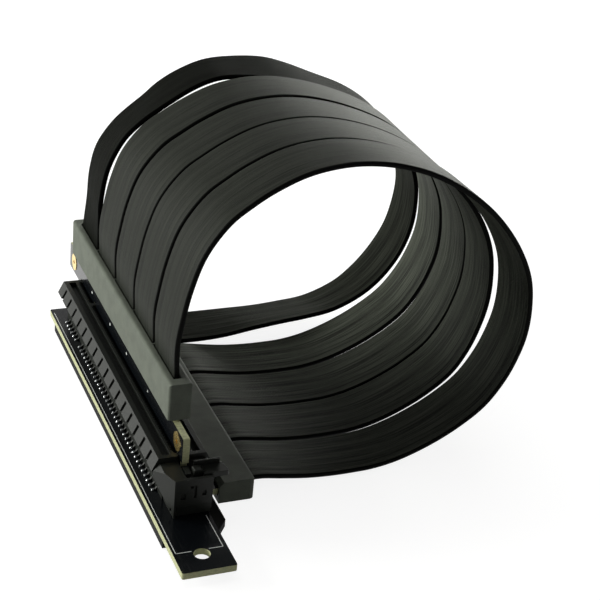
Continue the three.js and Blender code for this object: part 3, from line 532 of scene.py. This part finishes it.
def ribbon_frames(index, middle, half, steps):
    """Along one ribbon: centre, direction across, direction outwards and distance from the start."""
    edges = []
    slips = [SIDE_SLIPS[index] * math.sin(math.pi * k / steps) ** 0.6 for k in range(steps + 1)]
    for place, far in ((middle - half, False), (middle + half, True)):
        line = evenly(smooth_route(edge_route(index, far)), steps)
        edges.append([Vector((point.x, place + slip, point.y)) for point, slip in zip(line, slips)])
    centres = [(near + far) / 2 for near, far in zip(*edges)]
    frames, distance = [], 0.0
    for k, centre in enumerate(centres):
        before = centres[max(k - 1, 0)]
        after = centres[min(k + 1, steps)]
        across = (edges[1][k] - edges[0][k]).normalized()
        outward = (after - before).cross(across).normalized()
        distance += (centre - before).length
        frames.append((centre, across, outward, distance))
    return frames


def ribbon_section(settings):
    """The ribbon's outline as (across, out, map across): ridged faces and rounded edges."""
    half = settings.width / MM / 2
    rise = settings.thickness / MM / 2
    edge = EDGE_ROUNDING
    depth = settings.ridge_depth / MM
    per_wire = 3
    count = settings.wires * per_wire
    face = []
    for k in range(count + 1):
        across = (half - edge) * (2 * k / count - 1)
        face.append((across, rise - (depth if k % per_wire == 0 else 0.0)))
    turn = [(half - edge + edge * math.sin(a), (rise - depth) * math.cos(a)) for a in
            (math.pi * step / 6 for step in (1, 2, 3, 4, 5))]
    ring = [(across, out, across + half) for across, out in face]
    ring += [(across, out, 2 * half + 1 + 0.3 * k) for k, (across, out) in enumerate(turn)]
    ring += [(-across, -out, across + half + INNER_MAP_START) for across, out in face]
    inner_turn = 2 * half + INNER_MAP_START + 1
    ring += [(-across, -out, inner_turn + 0.3 * k) for k, (across, out) in enumerate(turn)]
    return ring


def build_ribbon(index, settings, material):
    """One ribbon as a swept closed mesh, with its own map: millimetres across and along."""
    ring = ribbon_section(settings)
    middle = ((RIBBON_COUNT - 1) / 2 - index) * RIBBON_PITCH
    frames = ribbon_frames(index, middle, settings.width / MM / 2, settings.steps)
    vertices = [
        centre + across * side + outward * out
        for centre, across, outward, _ in frames
        for side, out, _ in ring
    ]
    along = [distance for _, _, _, distance in frames]
    size = len(ring)
    faces, map_points = [], []
    for k in range(len(frames) - 1):
        for i in range(size):
            j = (i + 1) % size
            faces.append([k * size + i, k * size + j, (k + 1) * size + j, (k + 1) * size + i])
            u1 = ring[i][2]
            u2 = ring[j][2] if j else u1 + 0.3
            map_points += [(u1, along[k]), (u2, along[k]), (u2, along[k + 1]), (u1, along[k + 1])]
    last = (len(frames) - 1) * size
    for cap, start in ((list(range(size))[::-1], 0), (list(range(size)), last)):
        faces.append([start + i for i in cap])
        map_points += [(ring[i][2], 0.0) for i in cap]
    name = "ribbon_%d_jacket" % (index + 1)
    mesh = mesh_from(name, vertices, faces)
    layer = mesh.uv_layers.new(name="across_along")
    for loop, (u, v) in zip(layer.data, map_points):
        loop.uv = (u, v)
    for polygon in mesh.polygons:
        polygon.use_smooth = len(polygon.vertices) == 4
    if mesh.polygons[0].normal.dot(Vector((1, 0, 0))) > 0:
        mesh.flip_normals()
    piece = add_object(name, mesh, material)
    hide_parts("ribbon_%d" % (index + 1))


class RISER_OT_ribbons(Operator):
    """Sweep the five flat ribbons along their loops"""

    bl_idname = "riser.ribbons"
    bl_label = "Ribbons"

    def execute(self, context):
        settings = context.scene.riser_ribbons
        # Painted shade: the far ribbon gets a darker copy of the jacket, at 0.35 of its colours and with less
        # gloss; the other four keep the full colours.
        shaded_far_jacket = jacket_material("far_ribbon_shaded_jacket", settings, 0.35, 0.005)
        shade_weighted = jacket_material("ribbon_jacket", settings, 1.0, 0.03)
        for index in range(RIBBON_COUNT):
            build_ribbon(index, settings, shade_weighted if index else shaded_far_jacket)
        return {"FINISHED"}


class RISER_OT_mouldings(Operator):
    """Give the two mouldings and the pad their textured plastic and foam"""

    bl_idname = "riser.mouldings"
    bl_label = "Mouldings and pad"

    def execute(self, context):
        settings = context.scene.riser_plastics
        moulding = moulding_material(settings)
        paint("plug_moulding", moulding)
        paint("slot_moulding", moulding)
        paint("underside_pad", foam_material(settings))
        return {"FINISHED"}


class RISER_OT_socket(Operator):
    """Give the card slot and its latch their satin plastic and tinned tails"""

    bl_idname = "riser.socket"
    bl_label = "Card slot"

    def execute(self, context):
        scene = context.scene
        material = housing_material(scene.riser_plastics, scene.riser_boards.solder)
        paint("slot_housing", material)
        paint("retention_latch", material)
        return {"FINISHED"}


def line_along(start, end, width):
    """The flat outline of a printed line between two points in a plane."""
    start, end = Vector(start), Vector(end)
    ahead = (end - start).normalized() * width / 2
    side = Vector((-ahead.y, ahead.x))
    return [start - ahead - side, end + ahead - side, end + ahead + side, start - ahead + side]


class RISER_OT_boards(Operator):
    """Lacquer the two boards, plate the eyelets, print the outline and set the pale marks"""

    bl_idname = "riser.boards"
    bl_label = "Boards and print"

    def execute(self, context):
        settings = context.scene.riser_boards
        paint("slot_board", board_material("slot_board_mask", settings, 2))
        paint("plug_board", board_material("plug_board_mask", settings, 0))
        gold = plain_metal("plated_gold", settings.gold, 0.28)
        paint("plated_eyelet_1", gold)
        paint("plated_eyelet_2", gold)
        ink = print_material(settings)
        self.print_outline(settings, ink)
        self.pale_marks(settings, ink)
        return {"FINISHED"}

    @staticmethod
    def print_outline(settings, ink):
        """The thin outline just inside the slot board's edges."""
        width = settings.print_width / MM
        height = settings.print_height / MM
        low = BOARD_TOP + PRINT_LIFT
        solids = [
            prism(line_along(a, b, width), low, low + height, lambda u, v, z: (u, v, z))
            for a, b in PRINT_OUTLINE
        ]
        add_object("slot_board_print", solid_mesh("slot_board_print", solids), ink)

    @staticmethod
    def pale_marks(settings, ink):
        """Short pale marks on the plug board's outer face, made with the print's material."""
        height = settings.print_height / MM
        solids = []
        for middle, span, low, high in PALE_MARKS:
            near, far = middle - span / 2, middle + span / 2
            outline = [(near, low), (far, low), (far, high), (near, high)]
            solids.append(prism(outline, PLUG_MARK_X - height, PLUG_MARK_X, lambda u, v, w: (w, u, v)))
        add_object("plug_board_pale_marks", solid_mesh("plug_board_pale_marks", solids), ink)


def tail_places():
    """The places along Y of the contacts that have a tail in the outer row."""
    before = [FIELD_FAR - n for n in range(CONTACTS_BEFORE_KEY)]
    after = [AFTER_KEY_FAR - n for n in range(CONTACTS_AFTER_KEY)]
    return [place for n, place in enumerate(before + after) if n % 2 == 0]


def solder_tree(material):
    """Geometry Nodes: one small mound of solder on each point of the row."""
    tree = bpy.data.node_groups.new("solder_joints", "GeometryNodeTree")
    tree.interface.new_socket(name="Points", in_out="INPUT", socket_type="NodeSocketGeometry")
    for name, default in SOLDER_MOUND.items():
        socket = tree.interface.new_socket(name=name, in_out="INPUT", socket_type="NodeSocketFloat")
        socket.default_value = default
    tree.interface.new_socket(name="Geometry", in_out="OUTPUT", socket_type="NodeSocketGeometry")
    nodes, links = tree.nodes, tree.links
    source = nodes.new("NodeGroupInput")
    target = nodes.new("NodeGroupOutput")
    ball = nodes.new("GeometryNodeMeshUVSphere")
    ball.inputs["Segments"].default_value = 10
    ball.inputs["Rings"].default_value = 6
    ball.inputs["Radius"].default_value = 1.0
    size = nodes.new("ShaderNodeCombineXYZ")
    place = nodes.new("GeometryNodeInstanceOnPoints")
    vary = nodes.new("FunctionNodeRandomValue")
    vary.data_type = "FLOAT"
    vary.inputs[2].default_value = 0.85
    vary.inputs[3].default_value = 1.12
    vary.inputs["Seed"].default_value = 4
    scale = nodes.new("ShaderNodeVectorMath")
    scale.operation = "SCALE"
    real = nodes.new("GeometryNodeRealizeInstances")
    smooth = nodes.new("GeometryNodeSetShadeSmooth")
    coat = nodes.new("GeometryNodeSetMaterial")
    coat.inputs["Material"].default_value = material
    links.new(source.outputs["Points"], place.inputs["Points"])
    links.new(ball.outputs["Mesh"], place.inputs["Instance"])
    for name, axis in (("Length", "X"), ("Width", "Y"), ("Height", "Z")):
        links.new(source.outputs[name], size.inputs[axis])
    links.new(size.outputs["Vector"], scale.inputs[0])
    links.new(vary.outputs[1], scale.inputs["Scale"])
    links.new(scale.outputs["Vector"], place.inputs["Scale"])
    links.new(place.outputs["Instances"], real.inputs["Geometry"])
    links.new(real.outputs["Geometry"], smooth.inputs["Geometry"])
    links.new(smooth.outputs["Geometry"], coat.inputs["Geometry"])
    links.new(coat.outputs["Geometry"], target.inputs["Geometry"])
    return tree


def plain_mesh(piece, name):
    """The evaluated mesh of a piece, without its modifiers."""
    evaluated = piece.evaluated_get(bpy.context.evaluated_depsgraph_get())
    mesh = bpy.data.meshes.new_from_object(evaluated)
    mesh.name = name
    return mesh


class RISER_OT_solder(Operator):
    """Set a mound of solder on the foot of every tail"""

    bl_idname = "riser.solder"
    bl_label = "Solder joints"

    def execute(self, context):
        settings = context.scene.riser_boards
        metal = plain_metal("solder", settings.solder, 0.22)
        points = [(side * TAIL_FOOT_X, place, BOARD_TOP) for place in tail_places() for side in (-1, 1)]
        seed = bpy.data.objects.new("solder_points", mesh_from("solder_points", points, []))
        context.scene.collection.objects.link(seed)
        modifier = seed.modifiers.new("Solder", "NODES")
        tree = solder_tree(metal)
        modifier.node_group = tree
        for item in tree.interface.items_tree:
            if item.name in SOLDER_MOUND and item.in_out == "INPUT":
                modifier[item.identifier] = SOLDER_MOUND[item.name]
        mesh = plain_mesh(seed, "solder_joints")
        bpy.data.objects.remove(seed)
        if not mesh.polygons:
            raise RuntimeError("the solder joints came out empty")
        add_object("solder_joints", mesh, None)
        return {"FINISHED"}


# Stage


def light(name, place, target, size, power, colour):
    """One soft lamp, turned towards its target."""
    data = bpy.data.lights.new(name, "AREA")
    data.shape = "RECTANGLE"
    data.size, data.size_y = size
    data.energy = power
    data.color = colour
    lamp = bpy.data.objects.new(name, data)
    lamp.visible_camera = False
    lamp.location = place
    lamp.rotation_euler = (Vector(target) - Vector(place)).to_track_quat("-Z", "Y").to_euler()
    bpy.context.scene.collection.objects.link(lamp)


class RISER_OT_stage(Operator):
    """Set up the camera, the pale floor and the soft studio light"""

    bl_idname = "riser.stage"
    bl_label = "Stage"

    def execute(self, context):
        settings = context.scene.riser_stage
        self.camera(context)
        self.floor(context, settings)
        self.world(context, settings)
        light("top", (0.05, 0.35, 0.85), LAMP_TARGET, (0.9, 0.9), settings.top_power, (1.0, 1.0, 0.97))
        light("side", (-0.75, 0.45, 0.22), LAMP_TARGET, (0.5, 0.4), settings.side_power, (0.98, 1.0, 0.94))
        light("rim", (0.75, 1.05, 0.10), LAMP_TARGET, (0.9, 0.3), settings.rim_power, (0.98, 1.0, 0.92))
        context.scene.view_settings.view_transform = "Standard"
        return {"FINISHED"}

    @staticmethod
    def camera(context):
        azimuth, elevation, roll = (math.radians(angle) for angle in VIEW_ANGLES)
        target = Vector(VIEW_TARGET) * MM
        back = Vector((
            math.sin(azimuth) * math.cos(elevation),
            -math.cos(azimuth) * math.cos(elevation),
            math.sin(elevation),
        ))
        level = Vector((math.cos(azimuth), math.sin(azimuth), 0))
        up = back.cross(level)
        right = math.cos(roll) * level + math.sin(roll) * up
        top = math.cos(roll) * up - math.sin(roll) * level
        data = bpy.data.cameras.new("camera")
        data.sensor_width = 36
        data.lens = VIEW_LENS
        data.clip_start, data.clip_end = 0.01, 20
        camera = bpy.data.objects.new("camera", data)
        turn = Matrix((right, top, back)).transposed().to_4x4()
        camera.matrix_world = Matrix.Translation(target + back * VIEW_DISTANCE * MM) @ turn
        context.scene.collection.objects.link(camera)
        context.scene.camera = camera

    @staticmethod
    def floor(context, settings):
        ways = ((-1, -1), (1, -1), (1, 1), (-1, 1))
        corners = [(FLOOR_REACH * across, FLOOR_REACH * along, FLOOR_Z) for across, along in ways]
        mesh = mesh_from("floor", corners, [[0, 1, 2, 3]])
        shader = Shader("floor", settings.floor, roughness=0.9, specular=0.1)
        path = shader.nodes.new("ShaderNodeLightPath")
        seen = shader.math("ADD", path.outputs["Is Camera Ray"], path.outputs["Is Glossy Ray"])
        seen = shader.math("ADD", seen, path.outputs["Is Transmission Ray"])
        glow = shader.math("MULTIPLY", shader.math("MINIMUM", seen, 1), FLOOR_GLOW)
        shader.set("Emission Color", (1, 1, 1, 1))
        shader.to_surface(glow, "Emission Strength")
        mesh.materials.append(shader.material)
        floor = bpy.data.objects.new("floor", mesh)
        context.scene.collection.objects.link(floor)

    @staticmethod
    def world(context, settings):
        """A white backdrop low down all round, under a dim sky."""
        world = bpy.data.worlds.new("studio")
        world.use_nodes = True
        context.scene.world = world
        nodes, links = world.node_tree.nodes, world.node_tree.links
        nodes.clear()
        output = nodes.new("ShaderNodeOutputWorld")
        glow = nodes.new("ShaderNodeBackground")
        glow.inputs["Color"].default_value = (1, 1, 1, 1)
        direction = nodes.new("ShaderNodeTexCoord")
        parts = nodes.new("ShaderNodeSeparateXYZ")
        fade = range_node(nodes, 0.05, 0.6, 1.0, settings.sky)
        links.new(direction.outputs["Generated"], parts.inputs[0])
        links.new(parts.outputs["Z"], fade.inputs["Value"])
        front = range_node(nodes, -0.5, 0.3, 0.3, 1.0)
        links.new(parts.outputs["Y"], front.inputs["Value"])
        both = nodes.new("ShaderNodeMath")
        both.operation = "MULTIPLY"
        links.new(fade.outputs["Result"], both.inputs[0])
        links.new(front.outputs["Result"], both.inputs[1])
        links.new(both.outputs[0], glow.inputs["Strength"])
        links.new(glow.outputs[0], output.inputs["Surface"])


class RISER_PT_panel(Panel):
    """Lists the steps that build the riser cable"""

    bl_label = "Riser cable"
    bl_idname = "RISER_PT_panel"
    bl_space_type = "VIEW_3D"
    bl_region_type = "UI"
    bl_category = "Riser"

    def draw(self, context):
        for operator in OPERATORS:
            self.layout.operator(operator.bl_idname)


OPERATORS = (
    RISER_OT_stage,
    RISER_OT_ribbons,
    RISER_OT_mouldings,
    RISER_OT_socket,
    RISER_OT_boards,
    RISER_OT_solder,
)

SETTINGS = {
    "riser_ribbons": RibbonSettings,
    "riser_plastics": PlasticSettings,
    "riser_boards": BoardSettings,
    "riser_stage": StageSettings,
}


def register():
    for group in SETTINGS.values():
        bpy.utils.register_class(group)
    for cls in (*OPERATORS, RISER_PT_panel):
        bpy.utils.register_class(cls)
    for name, group in SETTINGS.items():
        setattr(bpy.types.Scene, name, PointerProperty(type=group))


def unregister():
    for name in SETTINGS:
        delattr(bpy.types.Scene, name)
    for cls in (RISER_PT_panel, *reversed(OPERATORS), *SETTINGS.values()):
        bpy.utils.unregister_class(cls)


def main():
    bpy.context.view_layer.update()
    register()
    bpy.ops.riser.stage()
    bpy.ops.riser.ribbons()
    bpy.ops.riser.mouldings()
    bpy.ops.riser.socket()
    bpy.ops.riser.boards()
    bpy.ops.riser.solder()


if __name__ == "__main__":
    main()
